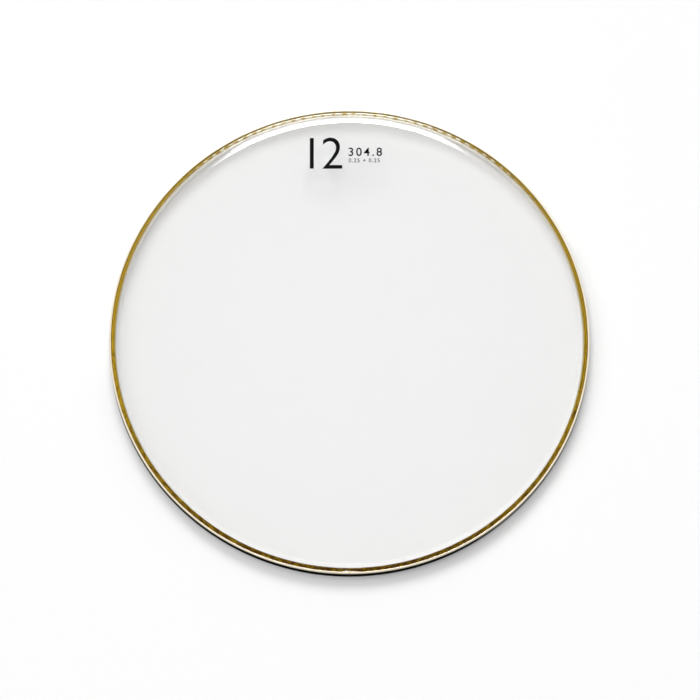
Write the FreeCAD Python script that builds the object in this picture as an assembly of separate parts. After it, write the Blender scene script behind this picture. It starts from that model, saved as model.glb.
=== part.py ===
import FreeCAD, Part
import math
import os

from FreeCAD import Vector

# Two-ply clear drum head for a 12 inch drum.
#
# Two thermoformed clear film plies lie one inside the other: a flat playing face, a rounded bend,
# a sloping collar, and a skirt that runs down into the hoop and ends in a turned-out hem. The hoop
# is a roll-formed aluminium channel, open at the top and cut through once where its ends meet. A
# short key bridges that joint inside the channel. Amber resin fills the channel, runs through the
# holes that are punched in both skirts, and so locks film, key and hoop together.
#
# Millimetres. +Z is up, out of the playing face. The origin is the centre of the hoop's foot plane,
# and the hoop's joint is at -Y.

# Drum that the head fits
SHELL_DIAMETER = 304.8
SHELL_CLEARANCE = 0.5

# Hoop channel
CHANNEL_WIDTH = 4.2
HOOP_HEIGHT = 9.6
HOOP_SHEET = 0.9
HOOP_CORNER = 1.5
LIP_ROUNDING = 0.25
INNER_LEG_DROP = 1.2
JOINT_GAP = 0.3

# Film plies
PLY_THICKNESS = 0.254
PLY_GAP = 0.03
COLLAR_RISE = 8.5
COLLAR_ANGLE = 60.0
BEND_ROUNDING = 9.0
FOOT_RISE = 0.8
FOOT_ROUNDING = 1.2
SKIRT_GAP = 0.15
HEM_WIDTH = 1.0
HEM_ROUNDING = 0.6
HEM_FLOOR_GAP = 0.45
LOCK_HOLE_DIAMETER = 2.4
LOCK_HOLE_PITCH = 6.8

# Resin filling
RESIN_BELOW_LIP = 0.6
RESIN_DIP = 0.4
RESIN_CREEP = 0.7
RESIN_SET_BACK = 0.3

# Joint key
KEY_LENGTH = 8.0
KEY_BELOW_LIP = 0.35
KEY_CLEARANCE = 0.12

# Radii and heights that follow from the sizes above
bore_radius = SHELL_DIAMETER / 2 + SHELL_CLEARANCE
hoop_radius = bore_radius + CHANNEL_WIDTH
cavity_inner = bore_radius + HOOP_SHEET
cavity_outer = hoop_radius - HOOP_SHEET
inner_leg_height = HOOP_HEIGHT - INNER_LEG_DROP
stack_thickness = 2 * PLY_THICKNESS + PLY_GAP
skirt_radius = cavity_inner + SKIRT_GAP + stack_thickness
foot_height = inner_leg_height + FOOT_RISE
head_height = foot_height + COLLAR_RISE
hem_height = HOOP_SHEET + HEM_FLOOR_GAP + stack_thickness

ORIGIN = Vector(0, 0, 0)
UP = Vector(0, 0, 1)
JOINT_DIRECTION = -90.0
OVERCUT = 1.0


def unit(start, end):
    """Direction from one (radius, height) point to another, and the distance between them."""
    length = math.dist(start[:2], end[:2])
    return ((end[0] - start[0]) / length, (end[1] - start[1]) / length), length


def beside(point, direction, distance):
    """The point moved to the right of a direction."""
    return point[0] + direction[1] * distance, point[1] - direction[0] * distance


def turn(before, after):
    """Turn from one direction to the next in radians, positive to the left."""
    cross = before[0] * after[1] - before[1] * after[0]
    dot = before[0] * after[0] + before[1] * after[1]
    return math.atan2(cross, dot)


def moved_right(corners, distance):
    """An open path of (radius, height, rounding) corners, moved to its right with concentric rounding."""
    directions = [unit(start, end)[0] for start, end in zip(corners, corners[1:])]
    moved = [(*beside(corners[0], directions[0], distance), 0)]
    for corner, before, after in zip(corners[1:-1], directions, directions[1:]):
        angle = turn(before, after)
        along = distance * math.tan(angle / 2)
        side = beside(corner, before, distance)
        rounding = corner[2] + math.copysign(distance, angle)
        moved.append((side[0] + before[0] * along, side[1] + before[1] * along, rounding))
    moved.append((*beside(corners[-1], directions[-1], distance), 0))
    return moved


def corner_points(before, corner, after):
    """Where a rounded corner starts, its middle and where it ends, or one point where it is sharp."""
    into, _ = unit(before, corner)
    out, _ = unit(corner, after)
    if corner[2] <= 0:
        return [corner[:2]]
    half = abs(turn(into, out)) / 2
    tangent = corner[2] * math.tan(half)
    start = (corner[0] - into[0] * tangent, corner[1] - into[1] * tangent)
    end = (corner[0] + out[0] * tangent, corner[1] + out[1] * tangent)
    inward, _ = unit(corner, ((start[0] + end[0]) / 2, (start[1] + end[1]) / 2))
    reach = corner[2] / math.cos(half) - corner[2]
    middle = (corner[0] + inward[0] * reach, corner[1] + inward[1] * reach)
    return [start, middle, end]


def closed_face(corners):
    """Flat face in the radius and height plane, bounded by lines and the corners' arcs."""
    neighbours = zip(corners[-1:] + corners[:-1], corners, corners[1:] + corners[:1])
    rounded = [corner_points(before, corner, after) for before, corner, after in neighbours]
    edges = []
    for points, following in zip(rounded, rounded[1:] + rounded[:1]):
        places = [Vector(radius, 0, height) for radius, height in points]
        if len(places) == 3:
            edges.append(Part.Arc(*places).toShape())
        edges.append(Part.LineSegment(places[-1], Vector(following[0][0], 0, following[0][1])).toShape())
    return Part.Face(Part.Wire(edges))


def turned(corners):
    """Solid of revolution about the head's axis."""
    return closed_face(corners).revolve(ORIGIN, UP, 360)


def turned_part_way(corners, length, radius):
    """Arc-shaped block of a given length at a given radius, centred on the hoop's joint."""
    angle = math.degrees(length / radius)
    block = closed_face(corners).revolve(ORIGIN, UP, angle)
    block.rotate(ORIGIN, UP, JOINT_DIRECTION - angle / 2)
    return block


def film_path():
    """Outer face of the upper ply, from the axis over the collar and down the skirt to the hem's edge."""
    collar_run = COLLAR_RISE / math.tan(math.radians(COLLAR_ANGLE))
    return [
        (0, head_height, 0),
        (skirt_radius - collar_run, head_height, BEND_ROUNDING),
        (skirt_radius, foot_height, FOOT_ROUNDING),
        (skirt_radius, hem_height, HEM_ROUNDING),
        (skirt_radius + HEM_WIDTH, hem_height, 0),
    ]


def film_layer(depth, thickness):
    """Formed film between two depths below the upper ply's outer face, with its lock holes punched."""
    path = film_path()
    layer = turned(moved_right(path, depth) + moved_right(path, depth + thickness)[::-1])
    return layer.cut(lock_holes())


def lock_holes():
    """Radial punches through both skirts, evenly spaced half-way down them."""
    count = round(2 * math.pi * skirt_radius / LOCK_HOLE_PITCH)
    start = skirt_radius - stack_thickness - OVERCUT
    height = (foot_height + hem_height) / 2
    punches = []
    for index in range(count):
        angle = math.radians(JOINT_DIRECTION) + 2 * math.pi * (index + 0.5) / count
        outward = Vector(math.cos(angle), math.sin(angle), 0)
        base = outward * start + UP * height
        length = stack_thickness + 2 * OVERCUT
        punches.append(Part.makeCylinder(LOCK_HOLE_DIAMETER / 2, length, base, outward))
    return Part.Compound(punches)


def whole_channel():
    """Channel of the hoop as a full ring, before its joint is cut."""
    inside_corner = max(HOOP_CORNER - HOOP_SHEET, 0)
    return turned([
        (hoop_radius, 0, HOOP_CORNER),
        (hoop_radius, HOOP_HEIGHT, LIP_ROUNDING),
        (cavity_outer, HOOP_HEIGHT, LIP_ROUNDING),
        (cavity_outer, HOOP_SHEET, inside_corner),
        (cavity_inner, HOOP_SHEET, inside_corner),
        (cavity_inner, inner_leg_height, LIP_ROUNDING),
        (bore_radius, inner_leg_height, LIP_ROUNDING),
        (bore_radius, 0, HOOP_CORNER),
    ])


def hoop_channel():
    """Hoop with the slit where its two ends butt together."""
    slit = Part.makeBox(
        JOINT_GAP,
        CHANNEL_WIDTH + 2 * OVERCUT,
        HOOP_HEIGHT + 2 * OVERCUT,
        Vector(-JOINT_GAP / 2, -hoop_radius - OVERCUT, -OVERCUT),
    )
    return whole_channel().cut(slit)


def joint_key():
    """Key between the skirt and the outer leg, across the joint and above the hem."""
    inner = skirt_radius + KEY_CLEARANCE
    low = hem_height + KEY_CLEARANCE + HEM_ROUNDING
    high = HOOP_HEIGHT - KEY_BELOW_LIP
    corners = [(inner, low, 0), (cavity_outer, low, 0), (cavity_outer, high, 0), (inner, high, 0)]
    return turned_part_way(corners, KEY_LENGTH, cavity_outer)


def resin_ring(key):
    """Cured resin: the channel's free space, the lock holes and a bead over the inner leg's edge."""
    level = HOOP_HEIGHT - RESIN_BELOW_LIP
    half_sheet = HOOP_SHEET / 2
    half_corner = max(HOOP_CORNER - half_sheet, 0)
    edge_radius = bore_radius + RESIN_SET_BACK
    half_width = (cavity_outer - skirt_radius) / 2
    slope = math.atan2(RESIN_DIP, half_width)
    meniscus = 0.9 * math.hypot(half_width, RESIN_DIP) / math.tan(slope)
    filling = turned([
        (bore_radius + half_sheet, half_sheet, half_corner),
        (hoop_radius - half_sheet, half_sheet, half_corner),
        (hoop_radius - half_sheet, level, 0),
        (cavity_outer, level, 0),
        (cavity_outer - half_width, level - RESIN_DIP, meniscus),
        (skirt_radius, level, 0),
        (skirt_radius - stack_thickness, inner_leg_height + RESIN_CREEP, 0),
        (edge_radius, inner_leg_height, 0),
        (edge_radius, inner_leg_height - half_sheet, 0),
        (bore_radius + half_sheet, inner_leg_height - half_sheet, 0),
    ])
    return filling.cut(whole_channel()).cut(film_layer(0, stack_thickness)).cut(key)


def main():
    key = joint_key()
    pieces = {
        "upper_film": film_layer(0, PLY_THICKNESS),
        "lower_film": film_layer(PLY_THICKNESS + PLY_GAP, PLY_THICKNESS),
        "hoop_channel": hoop_channel(),
        "joint_key": key,
        "resin_ring": resin_ring(key),
    }
    os.makedirs("parts", exist_ok=True)
    for name, shape in pieces.items():
        shape.exportStep(os.path.join("parts", name + ".step"))
        print(f"{name}: {len(shape.Solids)} solid, {shape.Volume:.1f} mm3, valid {shape.isValid()}")


main()
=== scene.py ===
import bmesh
import bpy
import cmath
import math
import random
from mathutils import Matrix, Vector, noise


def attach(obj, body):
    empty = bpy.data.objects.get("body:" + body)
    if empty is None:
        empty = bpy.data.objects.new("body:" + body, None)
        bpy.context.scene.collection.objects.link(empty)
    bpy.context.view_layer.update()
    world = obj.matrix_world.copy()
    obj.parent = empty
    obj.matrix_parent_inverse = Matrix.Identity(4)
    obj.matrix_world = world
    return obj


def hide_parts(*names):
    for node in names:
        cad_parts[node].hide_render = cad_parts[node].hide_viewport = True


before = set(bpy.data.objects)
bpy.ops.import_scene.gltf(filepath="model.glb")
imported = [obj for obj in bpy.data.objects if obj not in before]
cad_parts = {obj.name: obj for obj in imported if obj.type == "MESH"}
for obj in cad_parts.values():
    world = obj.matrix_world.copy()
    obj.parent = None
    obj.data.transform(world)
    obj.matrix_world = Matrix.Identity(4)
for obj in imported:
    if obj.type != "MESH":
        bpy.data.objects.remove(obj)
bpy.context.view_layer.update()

# Sizes in millimetres, as in the part's source
MM = 0.001
BORE_RADIUS = 152.9
HOOP_RADIUS = 157.1
HOOP_HEIGHT = 9.6
INNER_LEG_HEIGHT = 8.4
HOOP_SHEET = 0.9
HOOP_CORNER = 1.5
LIP_ROUNDING = 0.25
JOINT_GAP = 0.3
JOINT_ANGLE = -math.pi / 2
PLY_THICKNESS = 0.254
PLY_GAP = 0.03
HEAD_HEIGHT = 17.7
FOOT_HEIGHT = 9.2
SKIRT_RADIUS = 154.488
HEM_HEIGHT = 1.888
HEM_WIDTH = 1.0
COLLAR_ANGLE = math.radians(60)
BEND_ROUNDING = 9.0
FOOT_ROUNDING = 1.2
HEM_ROUNDING = 0.6
LOCK_HOLES = 143

CAVITY_INNER = BORE_RADIUS + HOOP_SHEET
CAVITY_OUTER = HOOP_RADIUS - HOOP_SHEET
STACK_THICKNESS = 2 * PLY_THICKNESS + PLY_GAP
BEND_RADIUS = SKIRT_RADIUS - (HEAD_HEIGHT - FOOT_HEIGHT) / math.tan(COLLAR_ANGLE)

# Surface detail in millimetres
FILM_SLACK = 0.05
SLACK_RADIUS = 140
SLACK_FADE = 20
PRINT_CENTRE = (-2.0, 124.0)
PRINT_REACH = 34
COLLAR_RIPPLE = 0.07
LIP_RADIUS = 155.85
LIP_THICKNESS = 0.9
LIP_CORNER = 0.2
LIP_WANDER = 0.09
PINCH_REACH = 7.0
PINCH_DEPTH = 0.7
PINCH_DROP = 0.1
RESIN_LEVEL = 8.8
RESIN_WAVE = 0.05
RESIN_SLOPE = 0.4
RESIN_TWIST = 0.08
RESIN_GROOVE = 0.6
RESIN_CLIMB = 0.7
RESIN_LUMPS = 0.1
RESIN_GRAIN = 0.02
SWELL_REACH = 7
BEAD_HEIGHT = 0.75
SEEP_SET_BACK = 0.12
SEEP_RIPPLE = 0.08
SEEP_DEPTH = 0.4
SKIN_GAP = 0.01
BUBBLE_SIZES = (0.1, 0.36)
INK_THICKNESS = 0.008
INK_LIFT = 0.012

# Radii in millimetres at which the ring's noise is read
BAND_RADIUS = 155
BEAD_RADIUS = 154

# Counts and shares
BUBBLE_COUNT = 320
BUBBLE_PLACES = (0.1, 0.95)
BUBBLE_SINK = 0.25
BUBBLE_FLATNESS = 0.7
FIGURE_SHARE = 0.7

# Steps of the meshes, with angles in radians
FILM_STEPS = 360
RESIN_STEPS = 1440
FINE_STEP = 0.0006
STEP_GROWTH = 1.2
COARSE_STEP = 2 * math.pi / 600
CORNER_STEPS = 6
BEAD_STEPS = 8
CLIMB_STEPS = 6
SLOPE_STEPS = 12
SEEP_STEPS = 14
SLIT_STEPS = 6
SHARP_ANGLE = math.radians(50)

# Colours
WHITE = (1, 1, 1, 1)
FILM_TINT = (0.993, 0.993, 0.993, 1)
LIP_CREAM = (0.94, 0.85, 0.66, 1)
WALL_SILVER = (0.8, 0.79, 0.77, 1)
# Painted shade colour for the hoop's outer wall, darkest at the front
WALL_SHADE_DARK = (0.075, 0.075, 0.076, 1)
# Inner leg colours: painted shade towards the front, painted light towards the back
INNER_LEG_SHADED = (0.5, 0.49, 0.45, 1)
INNER_LEG_LIT = (0.88, 0.86, 0.80, 1)
HOOP_SHEEN = (0.1, 0.1, 0.1, 1)
# Amber ramp: the dark end is reached mostly at the front as painted shade, elsewhere by the mottle
AMBER_SHADE_DARK = (0.09, 0.036, 0.0004, 1)
AMBER_LIGHT = (0.47, 0.30, 0.007, 1)
AMBER_DEEP = (0.31, 0.205, 0.014, 1)
AMBER_SCATTER = (0.0012, 0.0006, 0.0001)
BEAD_YELLOW = (0.56, 0.42, 0.09, 1)
# Painted highlight: the bead's cream at the back stands for a glint
BEAD_GLINT_CREAM = (0.93, 0.88, 0.71, 1)
# Painted shadow of the lip on the resin's outer edge at the back
LIP_SHADOW_BROWN = (0.10, 0.07, 0.025, 1)
KEY_METAL = (0.85, 0.82, 0.77, 1)
INK_BLACK = (0.0015, 0.0015, 0.0015, 1)
INK_WORN = (0.005, 0.005, 0.005, 1)

# Direction in which the painted shade on the hoop's outer wall is deepest
SHADED_SIDE = (-0.42, -0.91, 0)

# Studio, with distances in metres
FLOOR_LIFT = 0.05
FLOOR_WHITE = 0.93
FLOOR_HALF_WIDTH = 12.0
FLOOR_DROP = 0.00002
AMBIENT = 0.355
MIRRORED = 0.74
MIRRORED_FRONT = 0.62
LAMP_DISTANCE = 16.0
CAMERA_DISTANCE = 5.0
CAMERA_LIFT = math.radians(74.9)
CAMERA_AIM = Vector((0.0004, -0.00429, 0))
CAMERA_LENS = 392.7

scene = bpy.context.scene
scene.view_settings.view_transform = "Standard"
scene.cycles.transparent_max_bounces = 64


# Mesh helpers

def sample_path(corners, run_steps, bend_steps):
    """Points and right-hand normals along a path of (radius, height, rounding) corners.

    Points and normals are complex numbers, with the radius as the real part.
    """
    places = [complex(radius, height) for radius, height, _ in corners]
    headings = [(after - before) / abs(after - before) for before, after in zip(places, places[1:])]
    samples = []
    start = places[0]
    for index, heading in enumerate(headings):
        normal = heading * -1j
        end = places[index + 1]
        turn = 0.0
        if index + 1 < len(headings):
            turn = cmath.phase(headings[index + 1] / heading)
            end -= heading * corners[index + 1][2] * math.tan(abs(turn) / 2)
        steps = run_steps[index]
        for step in range(steps):
            samples.append((start + (end - start) * step / steps, normal))
        start = end
        if turn:
            centre = end - normal * math.copysign(corners[index + 1][2], turn)
            for step in range(bend_steps[index]):
                swing = cmath.exp(1j * turn * step / bend_steps[index])
                samples.append((centre + (end - centre) * swing, normal * swing))
            start = centre + (end - centre) * cmath.exp(1j * turn)
    samples.append((start, headings[-1] * -1j))
    return samples


def rounded_loop(corners, steps):
    """Closed outline of (radius, height, rounding) corners with its arcs sampled."""
    points = []
    count = len(corners)
    places = [complex(radius, height) for radius, height, _ in corners]
    for index, here in enumerate(places):
        before = places[index - 1]
        after = places[(index + 1) % count]
        into = (here - before) / abs(here - before)
        out = (after - here) / abs(after - here)
        turn = cmath.phase(out / into)
        rounding = corners[index][2]
        start = here - into * rounding * math.tan(abs(turn) / 2)
        centre = start + into * 1j * math.copysign(rounding, turn)
        for step in range(steps + 1):
            points.append(centre + (start - centre) * cmath.exp(1j * turn * step / steps))
    return points


def ring_object(name, section, angles, closed, axis=False):
    """Mesh swept round the head's axis.

    section(angle) gives the closed outline at each angle in millimetres. axis welds the points there.
    """
    mesh = bmesh.new()
    rows = []
    for angle in angles:
        east, north = math.cos(angle) * MM, math.sin(angle) * MM
        row = [(spot.real * east, spot.real * north, spot.imag * MM) for spot in section(angle)]
        rows.append([mesh.verts.new(corner) for corner in row])
    pairs = list(zip(rows, rows[1:]))
    if closed:
        pairs.append((rows[-1], rows[0]))
    for row, following in pairs:
        for index in range(len(row)):
            mesh.faces.new((row[index - 1], row[index], following[index], following[index - 1]))
    if not closed:
        mesh.faces.new(rows[0])
        mesh.faces.new(rows[-1])
    if axis:
        bmesh.ops.remove_doubles(mesh, verts=mesh.verts, dist=1e-7)
    bmesh.ops.recalc_face_normals(mesh, faces=mesh.faces)
    return mesh_object(name, mesh)


def mesh_object(name, mesh):
    """Smooth-shaded object from a bmesh, with its sharp edges kept crisp."""
    data = bpy.data.meshes.new(name)
    mesh.to_mesh(data)
    mesh.free()
    data.shade_smooth()
    data.set_sharp_from_angle(angle=SHARP_ANGLE)
    made = bpy.data.objects.new(name, data)
    scene.collection.objects.link(made)
    return made


def even_angles(count):
    return [2 * math.pi * index / count for index in range(count)]


def ripple(x, y, z, scale):
    """Smooth noise from about -1 to 1, with features of about scale millimetres."""
    return noise.noise(Vector((x, y, z)) / scale)


def held(value):
    """The value kept between 0 and 1."""
    return min(max(value, 0), 1)


def place(piece, slot, material, *nodes):
    """Gives a new piece its body, its material and the nodes that it stands for; the slot is not used.
    """
    piece.data.materials.clear()
    piece.data.materials.append(material)
    if nodes:
        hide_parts(*nodes)
    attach(piece, "root")


# Material helpers

def new_material(name):
    made = bpy.data.materials.new(name)
    made.use_nodes = True
    made.node_tree.nodes.clear()
    return made, made.node_tree


def add(tree, kind, **values):
    """A node with its inputs set by name, or by first, second and third where names repeat."""
    made = tree.nodes.new("ShaderNode" + kind)
    order = {"first": 0, "second": 1, "third": 2}
    for key, value in values.items():
        if hasattr(made, key) and key not in made.inputs:
            setattr(made, key, value)
            continue
        socket = made.inputs[order[key]] if key in order else made.inputs[key.replace("_", " ")]
        if isinstance(value, bpy.types.NodeSocket):
            tree.links.new(value, socket)
        else:
            socket.default_value = value
    return made


def math_node(tree, operation, first, second=0.0, third=0.0):
    made = add(tree, "Math", operation=operation, first=first, second=second, third=third)
    return made.outputs[0]


def spread(tree, value, low, high):
    """A 0 to 1 value spread between two numbers."""
    return math_node(tree, "MULTIPLY_ADD", value, high - low, low)


def ranged(tree, value, low, high, to_low=0.0, to_high=1.0):
    """A value mapped from one range to another and held inside it."""
    made = add(
        tree, "MapRange",
        Value=value, From_Min=low, From_Max=high, To_Min=to_low, To_Max=to_high,
    )
    return made.outputs[0]


def mixed(tree, share, first, second):
    """Two colours mixed, with a share of the second."""
    return add(tree, "MixRGB", Fac=share, Color1=first, Color2=second).outputs["Color"]


def ramp(tree, value, *stops):
    """Colour read from a ramp of two or more (position, colour) stops."""
    made = add(tree, "ValToRGB", Fac=value)
    elements = made.color_ramp.elements
    for element, (position, colour) in zip(elements, stops):
        element.position = position
        element.color = colour
    for position, colour in stops[2:]:
        elements.new(position).color = colour
    return made.outputs["Color"]


def object_spot(tree):
    """Place on the piece in metres."""
    return add(tree, "TexCoord").outputs["Object"]


def noise_node(tree, spot, scale, detail):
    return add(tree, "TexNoise", Vector=spot, Scale=scale, Detail=detail).outputs["Fac"]


def bump_node(tree, height, strength, distance):
    return add(tree, "Bump", Strength=strength, Distance=distance, Height=height).outputs[0]


def ring_noise(tree, along, across, detail):
    """Noise that runs round the ring without a seam: features along and across it in millimetres."""
    parts = add(tree, "SeparateXYZ", Vector=object_spot(tree)).outputs
    flat = add(tree, "CombineXYZ", X=parts["X"], Y=parts["Y"]).outputs[0]
    radius = add(tree, "VectorMath", operation="LENGTH", first=flat).outputs["Value"]
    stretch = HOOP_RADIUS / along
    place_along = add(
        tree, "CombineXYZ",
        X=math_node(tree, "MULTIPLY", math_node(tree, "DIVIDE", parts["X"], radius), stretch),
        Y=math_node(tree, "MULTIPLY", math_node(tree, "DIVIDE", parts["Y"], radius), stretch),
        Z=math_node(tree, "MULTIPLY", radius, 1000 / across),
    ).outputs[0]
    height = math_node(tree, "MULTIPLY", parts["Z"], 1000 / across)
    made = add(
        tree, "TexNoise",
        noise_dimensions="4D", Scale=1.0, Detail=detail, Roughness=0.6, Vector=place_along, W=height,
    )
    return made.outputs["Fac"], radius, parts["Z"]


# Materials

def film_material():
    """Clear film that mirrors more at grazing angles, with faint smears."""
    made, tree = new_material("clear_polyester_film")
    smear = noise_node(tree, object_spot(tree), 24.0, 3.0)
    roughness = spread(tree, smear, 0.06, 0.16)
    facing = add(tree, "LayerWeight", Blend=0.5).outputs["Facing"]
    grazing = math_node(tree, "POWER", facing, 5.0)
    mirror = spread(tree, grazing, 0.04, 1.0)
    clear = add(tree, "BsdfTransparent", Color=FILM_TINT).outputs[0]
    gloss = add(tree, "BsdfGlossy", Color=WHITE, Roughness=roughness).outputs[0]
    surface = add(tree, "MixShader", first=mirror, second=clear, third=gloss).outputs[0]
    add(tree, "OutputMaterial", Surface=surface)
    return made


def hoop_material():
    """Cream lip, silver outer wall with painted shade that darkens it at the front, inner leg with
    painted light at the back and painted shade at the front, and roll lines all round.
    """
    made, tree = new_material("rolled_aluminium")
    draw, radius, height = ring_noise(tree, 50, 0.17, 4.0)
    spot = object_spot(tree)
    east, north, _ = add(tree, "SeparateXYZ", Vector=spot).outputs
    patches = noise_node(tree, spot, 60.0, 3.0)
    # Painted shade on the outer wall: it grows from the lip downwards, is deepest towards the
    # front-left and stays a little dark elsewhere, more on the right; the noise patches add wear
    below_lip = ranged(tree, height, (HOOP_HEIGHT - 0.5) * MM, (HOOP_HEIGHT - 2.6) * MM)
    right_shade = ranged(tree, math_node(tree, "DIVIDE", east, radius), -0.2, 0.6, 0.1, 0.3)
    toward_shade = add(tree, "VectorMath", operation="DOT_PRODUCT", first=spot, second=SHADED_SIDE)
    facing_shade = math_node(tree, "DIVIDE", toward_shade.outputs["Value"], radius)
    side_shade = ranged(tree, facing_shade, 0.42, 0.72, right_shade)
    wall = math_node(tree, "MULTIPLY", below_lip, side_shade)
    wear_and_shade = math_node(tree, "MULTIPLY_ADD", patches, 0.4, wall)
    bright = mixed(tree, below_lip, LIP_CREAM, WALL_SILVER)
    outside = mixed(tree, ranged(tree, wear_and_shade, 0.3, 1.0), bright, WALL_SHADE_DARK)
    # Painted light on the inner leg: lighter towards the back and darker towards the front, streaked by
    # the roll lines
    streaks = math_node(tree, "MULTIPLY_ADD", draw, 0.4, 0.3)
    inner_light_and_streaks = math_node(tree, "MULTIPLY_ADD", north, 5.0, streaks)
    inside = ramp(tree, inner_light_and_streaks, (0.0, INNER_LEG_SHADED), (1.0, INNER_LEG_LIT))
    outer = math_node(tree, "GREATER_THAN", radius, (CAVITY_INNER + CAVITY_OUTER) / 2 * MM)
    gloss = spread(tree, draw, -0.7, -0.52)
    shader = add(
        tree, "BsdfPrincipled",
        Base_Color=mixed(tree, outer, inside, outside),
        Metallic=1.0,
        Roughness=math_node(tree, "MULTIPLY_ADD", outer, gloss, 0.9),
        Specular_Tint=HOOP_SHEEN,
        Normal=bump_node(tree, draw, 0.25, 0.00004),
    )
    add(tree, "OutputMaterial", Surface=shader.outputs[0])
    return made


def resin_material():
    """Mottled amber with painted shade that darkens it towards the front, and a bead over the inner
    leg.

    The bead is yellow at the sides, a painted cream highlight at the back, where it breaks up at the
    lock holes, and left out at the front as painted shade. A painted shadow of the lip runs along the
    outer edge at the back.
    """
    made, tree = new_material("amber_cast_resin")
    depth, radius, _ = ring_noise(tree, 3, 1.2, 4.0)
    spot = object_spot(tree)
    east, north, _ = add(tree, "SeparateXYZ", Vector=spot).outputs
    mottle = spread(tree, depth, -0.3, 1.3)
    # Painted shade: the amber's tone runs with north, darker towards the front, over the mottle
    mottle_and_front_shade = math_node(tree, "MULTIPLY_ADD", north, 2.2, mottle)
    tone = ramp(tree, mottle_and_front_shade, (0.1, AMBER_SHADE_DARK), (0.55, AMBER_LIGHT), (0.8, AMBER_DEEP))
    round_ring = math_node(tree, "ARCTAN2", north, east)
    holes = math_node(tree, "MULTIPLY_ADD", round_ring, LOCK_HOLES, -LOCK_HOLES * JOINT_ANGLE)
    flecks = math_node(tree, "COSINE", holes)
    # Where the painted cream highlight lies at the back, its edge broken up at the lock holes; there
    # the pale bead reaches further out
    uneven = math_node(tree, "MULTIPLY_ADD", depth, 0.17, north)
    uneven = math_node(tree, "MULTIPLY_ADD", flecks, -0.019, uneven)
    back = ranged(tree, uneven, 0.219, 0.226)
    glint_reach_radius = math_node(tree, "MULTIPLY_ADD", back, -1.1 * MM, radius)
    over_bead = ranged(tree, glint_reach_radius, (SKIRT_RADIUS - 0.45) * MM, (SKIRT_RADIUS - 1.1) * MM)
    # Paler bead over the inner leg: yellow at the sides, painted cream highlight at the back, left out
    # at the front as painted shade
    bead = mixed(tree, ranged(tree, north, 0.03, 0.12), BEAD_YELLOW, BEAD_GLINT_CREAM)
    share = math_node(tree, "MULTIPLY", over_bead, ranged(tree, north, -0.12, -0.03))
    pale = mixed(tree, share, tone, bead)
    # Painted shadow: brown along the resin's outer edge under the lip, at the back only
    edge = ranged(tree, radius, (LIP_RADIUS - 0.7) * MM, (LIP_RADIUS - 0.2) * MM, 0.0, 0.9)
    shaded = math_node(tree, "MULTIPLY", edge, back)
    skin = noise_node(tree, spot, 700.0, 2.0)
    shader = add(
        tree, "BsdfPrincipled",
        Base_Color=mixed(tree, shaded, pale, LIP_SHADOW_BROWN),
        Roughness=0.1,
        IOR=1.45,
        Specular_IOR_Level=ranged(tree, north, -0.12, 0.05, 0.12, 0.5),
        Subsurface_Weight=0.1,
        Subsurface_Radius=AMBER_SCATTER,
        Subsurface_Scale=1.0,
        Normal=bump_node(tree, skin, 0.12, 0.0001),
    )
    add(tree, "OutputMaterial", Surface=shader.outputs[0])
    return made


def key_material():
    """Sawn metal with fine cut lines."""
    made, tree = new_material("sawn_aluminium")
    spot = object_spot(tree)
    saw = add(tree, "TexWave", Vector=spot, Scale=900.0, Distortion=3.0, Detail=2.0)
    cuts = saw.outputs["Fac"]
    shader = add(
        tree, "BsdfPrincipled",
        Base_Color=KEY_METAL,
        Metallic=1.0,
        Roughness=spread(tree, cuts, 0.25, 0.45),
        Normal=bump_node(tree, cuts, 0.4, 0.0001),
    )
    add(tree, "OutputMaterial", Surface=shader.outputs[0])
    return made


def ink_material():
    """Black screen ink with a fine grain."""
    made, tree = new_material("black_screen_ink")
    grain = noise_node(tree, object_spot(tree), 2500.0, 3.0)
    shader = add(
        tree, "BsdfPrincipled",
        Base_Color=ramp(tree, grain, (0.35, INK_BLACK), (0.8, INK_WORN)),
        Roughness=spread(tree, grain, 0.4, 0.65),
        Specular_IOR_Level=0.04,
    )
    add(tree, "OutputMaterial", Surface=shader.outputs[0])
    return made


# Films

film_look = film_material()
film_samples = sample_path([
    (0, HEAD_HEIGHT, 0),
    (BEND_RADIUS, HEAD_HEIGHT, BEND_ROUNDING),
    (SKIRT_RADIUS, FOOT_HEIGHT, FOOT_ROUNDING),
    (SKIRT_RADIUS, HEM_HEIGHT, HEM_ROUNDING),
    (SKIRT_RADIUS + HEM_WIDTH, HEM_HEIGHT, 0),
], [40, 10, 6, 2], [14, 8, 6])


def film_wave(x, y, z):
    """How far the film stands off its ideal form, the same for both plies and none at the print."""
    from_print = math.hypot(x - PRINT_CENTRE[0], y - PRINT_CENTRE[1])
    beyond_print = held((from_print - PRINT_REACH) / SLACK_FADE)
    on_flat = held((SLACK_RADIUS - math.hypot(x, y)) / SLACK_FADE)
    slack = FILM_SLACK * ripple(x, y, 3.0, 46) * beyond_print * on_flat
    on_collar = held((z - FOOT_HEIGHT - 0.4) / 1.5) * held((HEAD_HEIGHT - 0.5 - z) / 2.5)
    return slack + COLLAR_RIPPLE * ripple(x, y, z * 0.3, 6) * on_collar


def film_section(angle, depth):
    """One ply's outline at an angle: out along its upper face and back along its lower face."""
    east, north = math.cos(angle), math.sin(angle)
    upper, lower = [], []
    for spot, normal in film_samples:
        off = depth - film_wave(spot.real * east, spot.real * north, spot.imag)
        upper.append(spot + normal * off)
        lower.append(spot + normal * (off + PLY_THICKNESS))
    return upper + lower[::-1]


def film_sheet(node, depth):
    """The whole of one ply, at a depth below the upper ply's outer face."""
    sheet = ring_object(
        node + "_sheet",
        lambda angle: film_section(angle, depth),
        even_angles(FILM_STEPS),
        closed=True,
        axis=True,
    )
    place(sheet, "clear_film", film_look, node)


film_sheet("upper_film", 0.0)
film_sheet("lower_film", PLY_THICKNESS + PLY_GAP)


# Hoop

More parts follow.
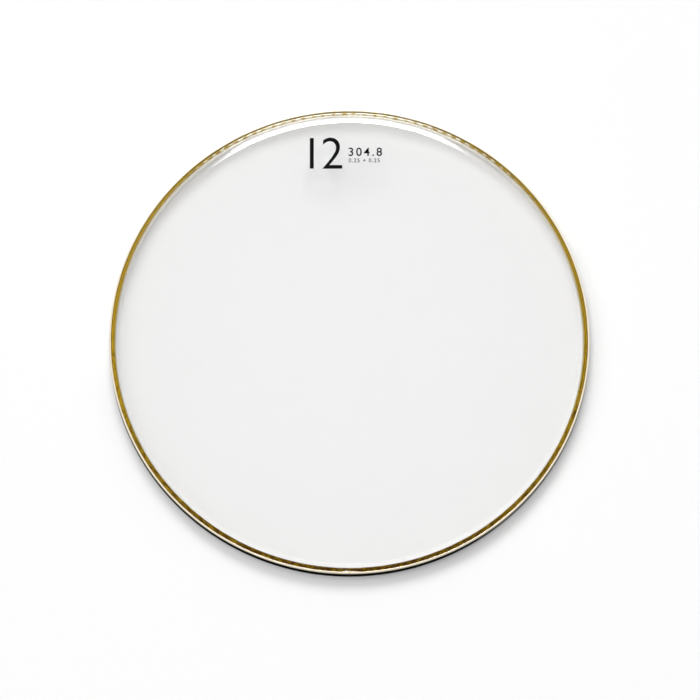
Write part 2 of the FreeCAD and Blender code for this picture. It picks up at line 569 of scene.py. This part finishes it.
hoop_outline = rounded_loop([
    (HOOP_RADIUS, 0, HOOP_CORNER),
    (HOOP_RADIUS, HOOP_HEIGHT, LIP_ROUNDING),
    (LIP_RADIUS, HOOP_HEIGHT, LIP_ROUNDING),
    (LIP_RADIUS, HOOP_HEIGHT - LIP_THICKNESS, LIP_CORNER),
    (CAVITY_OUTER, HOOP_HEIGHT - LIP_THICKNESS, LIP_CORNER),
    (CAVITY_OUTER, HOOP_SHEET, HOOP_CORNER - HOOP_SHEET),
    (CAVITY_INNER, HOOP_SHEET, HOOP_CORNER - HOOP_SHEET),
    (CAVITY_INNER, INNER_LEG_HEIGHT, LIP_ROUNDING),
    (BORE_RADIUS, INNER_LEG_HEIGHT, LIP_ROUNDING),
    (BORE_RADIUS, 0, HOOP_CORNER),
], CORNER_STEPS)


def joint_angles():
    """Angles from one end of the hoop round to the other, closer together near the joint."""
    steps = []
    at = JOINT_GAP / 2 / HOOP_RADIUS
    step = FINE_STEP
    while at < math.pi:
        steps.append(at)
        at += step
        step = min(step * STEP_GROWTH, COARSE_STEP)
    one_way = [JOINT_ANGLE + at for at in steps]
    other_way = [JOINT_ANGLE + 2 * math.pi - at for at in steps[::-1]]
    return one_way + other_way


def hoop_section(angle):
    """The channel, with its outer lip pinched inwards a little at the hoop's two ends."""
    away = (angle - JOINT_ANGLE) * HOOP_RADIUS
    away = min(away, 2 * math.pi * HOOP_RADIUS - away)
    near_joint = min(max(1 - away / PINCH_REACH, 0) * 2, 1)
    pinch = near_joint * max(0.5 + 1.8 * ripple(angle * BAND_RADIUS, 4.0, 0, 1.5), 0)
    x, y = math.cos(angle) * BAND_RADIUS, math.sin(angle) * BAND_RADIUS
    wander = LIP_WANDER * ripple(x, y, 2, 11)
    points = []
    for spot in hoop_outline:
        inward = held((HOOP_RADIUS - spot.real) / (HOOP_RADIUS - LIP_RADIUS))
        if spot.real > LIP_RADIUS - 0.01 and spot.imag > RESIN_LEVEL - 0.4:
            spot -= inward * (wander + pinch * PINCH_DEPTH) + 1j * inward * pinch * PINCH_DROP
        points.append(spot)
    return points


hoop = ring_object("hoop_channel_ring", hoop_section, joint_angles(), closed=False)
place(hoop, "hoop_aluminium", hoop_material(), "hoop_channel")


# Resin

film_outer = SKIRT_RADIUS + SKIN_GAP
wall_radius = CAVITY_OUTER - SKIN_GAP
lip_edge = LIP_RADIUS + 0.12
resin_look = resin_material()


def joint_nearness(angle, reach):
    """1 at the hoop's joint, falling to 0 at reach millimetres from it."""
    away = abs(math.remainder(angle - JOINT_ANGLE, 2 * math.pi)) * HOOP_RADIUS
    return max(1 - away / reach, 0)


def resin_height(angle, across):
    """Height of the resin between the film, across 0, and the outer leg, across 1."""
    x, y = BAND_RADIUS * math.cos(angle), BAND_RADIUS * math.sin(angle)
    level = RESIN_LEVEL + RESIN_WAVE * ripple(x, y, 0, 19)
    slope = RESIN_SLOPE * (1 - across) - RESIN_TWIST * (across - 0.4) * ripple(x, y, 30, 4.5)
    slope -= RESIN_GROOVE * max(across - 0.5, 0) / 0.5
    lumps = RESIN_LUMPS * ripple(x, y, across * 1.5, 3.6)
    lumps += RESIN_GRAIN * ripple(x, y, across * 3 + 7, 1.3)
    near_joint = min(joint_nearness(angle, SWELL_REACH) * 2, 1)
    swell = near_joint * (0.36 + 0.6 * ripple(x, y, across * 2 + 3, 1.3))
    return level + slope + lumps + swell


def resin_section(angle):
    """Bead over the inner lip, climb on the film, slope to the outer leg, then the channel's inside."""
    x, y = BEAD_RADIUS * math.cos(angle), BEAD_RADIUS * math.sin(angle)
    edge = BORE_RADIUS + 0.08 + 0.2 * ripple(x, y, 5, 8)
    edge = min(max(edge, BORE_RADIUS + 0.02), CAVITY_INNER - 0.3)
    base = INNER_LEG_HEIGHT + SKIN_GAP
    crown = INNER_LEG_HEIGHT + BEAD_HEIGHT
    bead_end = SKIRT_RADIUS - STACK_THICKNESS
    points = [complex(edge, base)]
    for step in range(1, BEAD_STEPS):
        part = step / BEAD_STEPS
        rise = math.sin(part * math.pi / 2) ** 0.85
        points.append(complex(edge + (bead_end - edge) * part, base + (crown - base) * rise))
    scallop = 0.3 * math.sin(LOCK_HOLES * (angle - JOINT_ANGLE) / 2) ** 2
    creep = 0.8 + scallop + 0.45 * ripple(x, y, 11, 9) + 0.3 * ripple(x, y, 15, 3)
    climb = RESIN_CLIMB * creep
    foot = resin_height(angle, 0)
    top = max(FOOT_HEIGHT + climb * math.tan(COLLAR_ANGLE), foot + 0.1)
    for step in range(CLIMB_STEPS):
        part = step / CLIMB_STEPS
        thickness = 0.03 + 0.1 * part
        radius = film_outer - climb * (1 - part) + thickness
        points.append(complex(radius, top + (foot - top) * part))
    inner = film_outer + 0.15
    for step in range(SLOPE_STEPS + 1):
        across = step / SLOPE_STEPS
        points.append(complex(inner + (lip_edge - inner) * across, resin_height(angle, across)))
    under_lip = HOOP_HEIGHT - LIP_THICKNESS - SKIN_GAP
    points.append(complex(lip_edge, under_lip))
    points.append(complex(wall_radius, under_lip))
    points.append(complex(wall_radius, HOOP_CORNER))
    points.append(complex(wall_radius - 0.6, HOOP_SHEET + SKIN_GAP))
    points.append(complex(CAVITY_INNER + 0.6, HOOP_SHEET + SKIN_GAP))
    points.append(complex(CAVITY_INNER + SKIN_GAP, HOOP_CORNER))
    points.append(complex(CAVITY_INNER + SKIN_GAP, base))
    return points


resin = ring_object("resin_ring_cast", resin_section, even_angles(RESIN_STEPS), closed=True)
place(resin, "amber_resin", resin_look, "resin_ring")


def seep_section(angle):
    """Resin that has run into the slit between the hoop's ends."""
    wall = HOOP_RADIUS - SEEP_SET_BACK + SEEP_RIPPLE * ripple(angle * 4000, 0, 0, 0.9)
    points = []
    for step in range(SEEP_STEPS + 1):
        height = 0.3 + (HOOP_HEIGHT - 0.7) * step / SEEP_STEPS
        radius = wall + SEEP_RIPPLE * ripple(height, angle * 900, 4, 1.2)
        points.append(complex(radius, height))
    points.append(complex(CAVITY_OUTER - SEEP_DEPTH, HOOP_HEIGHT - LIP_THICKNESS))
    points.append(complex(CAVITY_OUTER - SEEP_DEPTH, 0.5))
    return points


slit_half = (JOINT_GAP / 2 - SKIN_GAP) / HOOP_RADIUS
slit_angles = [
    JOINT_ANGLE + slit_half * (2 * step / SLIT_STEPS - 1) for step in range(SLIT_STEPS + 1)
]
seep = ring_object("resin_in_joint", seep_section, slit_angles, closed=False)
place(seep, "amber_resin", resin_look)

picker = random.Random(7)
bubbles = bmesh.new()
for index in range(BUBBLE_COUNT):
    angle = picker.uniform(0, 2 * math.pi)
    across = picker.uniform(*BUBBLE_PLACES)
    size = picker.uniform(*BUBBLE_SIZES)
    radius = film_outer + (LIP_RADIUS - film_outer) * across
    height = resin_height(angle, across) - size * BUBBLE_SINK
    centre = Vector((radius * math.cos(angle), radius * math.sin(angle), height))
    ball = bmesh.ops.create_icosphere(bubbles, subdivisions=2, radius=size * MM)
    for corner in ball["verts"]:
        flat = Vector((corner.co.x, corner.co.y, corner.co.z * BUBBLE_FLATNESS))
        corner.co = flat + centre * MM
place(mesh_object("resin_bubbles", bubbles), "amber_resin", resin_look)

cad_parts["joint_key"].material_slots[0].material = key_material()


# Printed size numbers

ink_look = ink_material()


def printed(name, words, height, left, base, weight, spacing):
    """Ink figures on the upper film.

    Height, left edge, base line and the strokes' change of weight are in millimetres.
    """
    curve = bpy.data.curves.new(name, "FONT")
    curve.body = words
    curve.size = height * MM / FIGURE_SHARE
    curve.offset = weight * MM
    curve.space_character = spacing
    curve.extrude = INK_THICKNESS * MM
    curve.resolution_u = 8
    holder = bpy.data.objects.new(name + "_curve", curve)
    scene.collection.objects.link(holder)
    bpy.context.view_layer.update()
    data = bpy.data.meshes.new_from_object(holder)
    bpy.data.objects.remove(holder)
    leftmost = min(corner.co.x for corner in data.vertices)
    lowest = min(corner.co.y for corner in data.vertices)
    lift = (HEAD_HEIGHT + INK_LIFT) * MM
    shift = Vector((left * MM - leftmost, base * MM - lowest, lift))
    for corner in data.vertices:
        corner.co += shift
    made = bpy.data.objects.new(name, data)
    scene.collection.objects.link(made)
    place(made, "clear_film", ink_look)


printed("print_size_inches", "12", 22.0, -26.0, 114.2, -0.25, 0.86)
printed("print_size_millimetres", "304.8", 5.6, -0.5, 122.9, 0.09, 1.3)
printed("print_ply_thickness", "0.25 + 0.25", 2.6, -0.5, 118.6, 0.03, 1.2)


# Floor and sky

def floor_material():
    """White table top, lifted a little towards white where it is seen."""
    made, tree = new_material("white_table")
    tooth = noise_node(tree, object_spot(tree), 400.0, 2.0)
    bump = bump_node(tree, tooth, 0.02, 0.0002)
    path = add(tree, "LightPath").outputs
    seen = math_node(tree, "MAXIMUM", path["Is Camera Ray"], path["Is Glossy Ray"])
    seen = math_node(tree, "MAXIMUM", seen, path["Is Transmission Ray"])
    white = (FLOOR_WHITE, FLOOR_WHITE, FLOOR_WHITE, 1)
    paint = add(tree, "BsdfDiffuse", Color=white, Normal=bump).outputs[0]
    lift = math_node(tree, "MULTIPLY", seen, FLOOR_LIFT)
    glow = add(tree, "Emission", Color=WHITE, Strength=lift).outputs[0]
    add(tree, "OutputMaterial", Surface=add(tree, "AddShader", first=paint, second=glow).outputs[0])
    return made


table = bmesh.new()
bmesh.ops.create_grid(table, x_segments=1, y_segments=1, size=FLOOR_HALF_WIDTH)
floor = mesh_object("floor", table)
floor.location.z = -FLOOR_DROP
floor.data.materials.append(floor_material())

world = bpy.data.worlds.new("studio")
scene.world = world
world.use_nodes = True
sky_tree = world.node_tree
sky_tree.nodes.clear()
sky_path = add(sky_tree, "LightPath").outputs
sky_spot = add(sky_tree, "TexCoord").outputs["Generated"]
northward = add(sky_tree, "SeparateXYZ", Vector=sky_spot).outputs["Y"]
extra = ranged(sky_tree, northward, -0.8, 0.2, MIRRORED_FRONT - AMBIENT, MIRRORED - AMBIENT)
strength = math_node(sky_tree, "MULTIPLY_ADD", sky_path["Is Glossy Ray"], extra, AMBIENT)
strength = math_node(sky_tree, "MAXIMUM", strength, sky_path["Is Camera Ray"])
backdrop = add(sky_tree, "Background", Color=WHITE, Strength=strength).outputs[0]
add(sky_tree, "OutputWorld", Surface=backdrop)


# Lights and camera

def soft_light(name, azimuth, elevation, width, height, share):
    """Soft box that gives a share of the floor's light.

    Angles are in degrees. Azimuth 0 is behind the head and turns towards -X.
    """
    turn, lift = math.radians(azimuth), math.radians(elevation)
    lamp = bpy.data.lights.new(name, "AREA")
    lamp.shape = "RECTANGLE"
    lamp.size = 2 * LAMP_DISTANCE * math.tan(math.radians(width / 2))
    lamp.size_y = 2 * LAMP_DISTANCE * math.tan(math.radians(height / 2))
    lamp.energy = share * (math.pi * LAMP_DISTANCE) ** 2 / (FLOOR_WHITE * math.sin(lift))
    made = bpy.data.objects.new(name, lamp)
    level = math.cos(lift)
    away = Vector((-math.sin(turn) * level, math.cos(turn) * level, math.sin(lift)))
    made.location = away * LAMP_DISTANCE
    made.rotation_euler = away.to_track_quat("Z", "Y").to_euler()
    scene.collection.objects.link(made)
    return made


# Lamps that light and shade, then lamps that only show as reflections
for shadow_lamp in (
    soft_light("key_lamp", 6, 48, 30, 22, 0.3),
    soft_light("side_lamp", 80, 47, 50, 26, 0.12),
    soft_light("top_lamp", 90, 83, 40, 30, 0.26),
):
    shadow_lamp.visible_glossy = False
for glint_lamp in (
    soft_light("glint_lamp", 2, 42, 28, 14, 0.66),
    soft_light("backdrop_lamp", 2, 17, 41, 34, 0.18),
):
    glint_lamp.visible_diffuse = False

camera_data = bpy.data.cameras.new("camera")
camera_data.lens = CAMERA_LENS
camera_data.sensor_width = 36.0
camera = bpy.data.objects.new("camera", camera_data)
scene.collection.objects.link(camera)
scene.camera = camera
camera_away = Vector((0, -math.cos(CAMERA_LIFT), math.sin(CAMERA_LIFT)))
camera.location = CAMERA_AIM + camera_away * CAMERA_DISTANCE
camera.rotation_euler = camera_away.to_track_quat("Z", "Y").to_euler()
